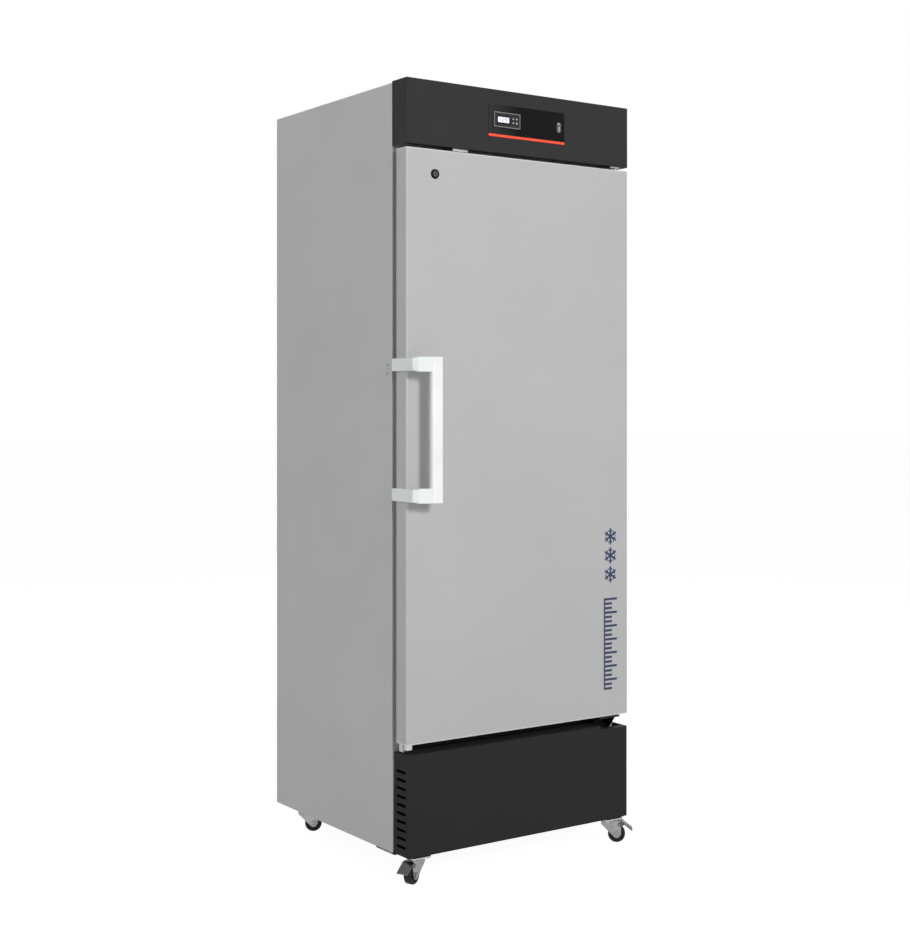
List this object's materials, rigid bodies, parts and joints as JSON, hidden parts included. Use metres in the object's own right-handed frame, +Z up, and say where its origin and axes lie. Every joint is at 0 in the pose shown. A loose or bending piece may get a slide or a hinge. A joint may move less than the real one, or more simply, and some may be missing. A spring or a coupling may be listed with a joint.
{
  "type": "medical freezer",
  "caption": "Upright medical freezer with one solid insulated door, side-mounted grip, key lock, header controller, wire shelves and braked casters.",
  "frame": {"origin": "on the floor, under the centre of the whole object's outline", "axes": "+Z up, the door faces -Y, +X to the right as seen from the front"},
  "size_m": [0.6797, 0.678, 1.805],
  "materials": {
    "cabinet_paint": "satin",
    "door_paint": "satin",
    "dark_paint": "satin",
    "white_plastic": "satin",
    "grey_plastic": "satin",
    "black_plastic": "satin",
    "overlay_plastic": "gloss",
    "clear_window": "gloss",
    "foam": "matt",
    "liner_plastic": "satin",
    "gasket_rubber": "matt",
    "black_rubber": "matt",
    "zinc": "satin",
    "bright_steel": "polished",
    "galvanised": "satin",
    "coil_aluminium": "satin",
    "compressor_black": "satin",
    "copper": "satin",
    "shelf_wire": "satin"
  },
  "bodies": {
    "cabinet": {"cabinet_shell": "cabinet_paint", "rear_panel": "cabinet_paint", "panel_screws": "zinc", "foam_insulation": "foam", "inner_liner": "liner_plastic", "breaker_frame": "grey_plastic", "base_frame": "dark_paint", "header_cover": "dark_paint", "control_overlay": "overlay_plastic", "controller_housing": "black_plastic", "display_window": "clear_window", "data_port": "black_plastic", "kick_panel": "dark_paint", "rear_grille": "galvanised", "power_inlet": "black_plastic", "compressor": "compressor_black", "compressor_mounts": "black_rubber", "condenser_coil": "coil_aluminium", "condenser_fan_motor": "dark_paint", "condensate_pan": "black_plastic", "refrigerant_lines": "copper", "evaporator_coil": "coil_aluminium", "evaporator_cover": "cabinet_paint", "evaporator_fan_motor": "dark_paint", "shelf_standards": "galvanised", "shelf_1": "shelf_wire", "shelf_2": "shelf_wire", "shelf_3": "shelf_wire", "shelf_4": "shelf_wire", "top_hinge_bracket": "zinc", "bottom_hinge_bracket": "dark_paint", "door_switch_bracket": "zinc", "caster_plates": "zinc"},
    "door": {"door_skin": "door_paint", "door_foam": "foam", "door_liner": "liner_plastic", "door_gasket": "gasket_rubber", "door_end_caps": "white_plastic", "door_edge_cover": "black_plastic", "handle_bar": "white_plastic", "handle_brackets": "grey_plastic", "lock_body": "black_plastic"},
    "lock_plug": {"lock_plug": "bright_steel"},
    "lock_bolt": {"lock_bolt": "zinc"},
    "condenser_fan": {"condenser_fan": "coil_aluminium"},
    "evaporator_fan": {"evaporator_fan": "black_plastic"},
    "key_down": {"key_down": "grey_plastic"},
    "key_up": {"key_up": "grey_plastic"},
    "key_set": {"key_set": "grey_plastic"},
    "key_mute": {"key_mute": "grey_plastic"},
    "caster_front_left": {"caster_fork_front_left": "zinc"},
    "wheel_front_left": {"caster_wheel_front_left": "black_rubber"},
    "caster_front_right": {"caster_fork_front_right": "zinc"},
    "wheel_front_right": {"caster_wheel_front_right": "black_rubber"},
    "caster_rear_left": {"caster_fork_rear_left": "zinc"},
    "wheel_rear_left": {"caster_wheel_rear_left": "black_rubber"},
    "caster_rear_right": {"caster_fork_rear_right": "zinc"},
    "wheel_rear_right": {"caster_wheel_rear_right": "black_rubber"},
    "pedal_front_left": {"brake_pedal_front_left": "zinc"},
    "pedal_front_right": {"brake_pedal_front_right": "zinc"}
  },
  "joints": [
    {"name": "door_hinge", "type": "hinge", "parent": "cabinet", "child": "door", "pos_m": [0.296, -0.259, 0.315], "axis": [0, 0, 1], "range_deg": [0, 120]},
    {"name": "lock_turn", "type": "hinge", "parent": "door", "child": "lock_plug", "pos_m": [-0.249, -0.273, 1.5946], "axis": [0, -1, 0], "range_deg": [0, 90]},
    {"name": "lock_bolt_slide", "type": "slide", "parent": "door", "child": "lock_bolt", "axis": [0, 0, 1], "range_m": [0, 0.012]},
    {"name": "key_down_press", "type": "slide", "parent": "cabinet", "child": "key_down", "axis": [0, 1, 0], "range_m": [0, 0.0005], "stiffness_N_per_m": 800, "springref_m": -0.0005},
    {"name": "key_up_press", "type": "slide", "parent": "cabinet", "child": "key_up", "axis": [0, 1, 0], "range_m": [0, 0.0005], "stiffness_N_per_m": 800, "springref_m": -0.0005},
    {"name": "key_set_press", "type": "slide", "parent": "cabinet", "child": "key_set", "axis": [0, 1, 0], "range_m": [0, 0.0005], "stiffness_N_per_m": 800, "springref_m": -0.0005},
    {"name": "key_mute_press", "type": "slide", "parent": "cabinet", "child": "key_mute", "axis": [0, 1, 0], "range_m": [0, 0.0005], "stiffness_N_per_m": 800, "springref_m": -0.0005},
    {"name": "condenser_fan_spin", "type": "hinge", "parent": "cabinet", "child": "condenser_fan", "pos_m": [0.06, -0.123, 0.181], "axis": [0, -1, 0], "continuous": true},
    {"name": "evaporator_fan_spin", "type": "hinge", "parent": "cabinet", "child": "evaporator_fan", "pos_m": [-0.02, 0.1042, 1.519], "axis": [0, -1, 0], "continuous": true},
    {"name": "swivel_front_left", "type": "hinge", "parent": "cabinet", "child": "caster_front_left", "pos_m": [-0.283, -0.249, 0.051], "axis": [0, 0, 1], "continuous": true},
    {"name": "roll_front_left", "type": "hinge", "parent": "caster_front_left", "child": "wheel_front_left", "pos_m": [-0.3013, -0.25708, 0.021], "axis": [-0.4039, 0.9148, 0], "continuous": true},
    {"name": "brake_front_left", "type": "hinge", "parent": "caster_front_left", "child": "pedal_front_left", "pos_m": [-0.3077, -0.25991, 0.044], "axis": [0.4039, -0.9148, 0], "range_deg": [0, 10]},
    {"name": "swivel_front_right", "type": "hinge", "parent": "cabinet", "child": "caster_front_right", "pos_m": [0.283, -0.249, 0.051], "axis": [0, 0, 1], "continuous": true},
    {"name": "roll_front_right", "type": "hinge", "parent": "caster_front_right", "child": "wheel_front_right", "pos_m": [0.29818, -0.26202, 0.021], "axis": [-0.651, -0.759, 0], "continuous": true},
    {"name": "brake_front_right", "type": "hinge", "parent": "caster_front_right", "child": "pedal_front_right", "pos_m": [0.30349, -0.26658, 0.044], "axis": [0.651, 0.759, 0], "range_deg": [0, 10]},
    {"name": "swivel_rear_left", "type": "hinge", "parent": "cabinet", "child": "caster_rear_left", "pos_m": [-0.283, 0.26, 0.051], "axis": [0, 0, 1], "continuous": true},
    {"name": "roll_rear_left", "type": "hinge", "parent": "caster_rear_left", "child": "wheel_rear_left", "pos_m": [-0.2656, 0.25014, 0.021], "axis": [-0.493, -0.87, 0], "continuous": true},
    {"name": "swivel_rear_right", "type": "hinge", "parent": "cabinet", "child": "caster_rear_right", "pos_m": [0.283, 0.26, 0.051], "axis": [0, 0, 1], "continuous": true},
    {"name": "roll_rear_right", "type": "hinge", "parent": "caster_rear_right", "child": "wheel_rear_right", "pos_m": [0.27616, 0.24121, 0.021], "axis": [-0.9397, 0.3419, 0], "continuous": true}
  ],
  "couplings": [
    {"joint": "lock_turn", "follows": "lock_bolt_slide", "rad_per_m": 130.89}
  ]
}
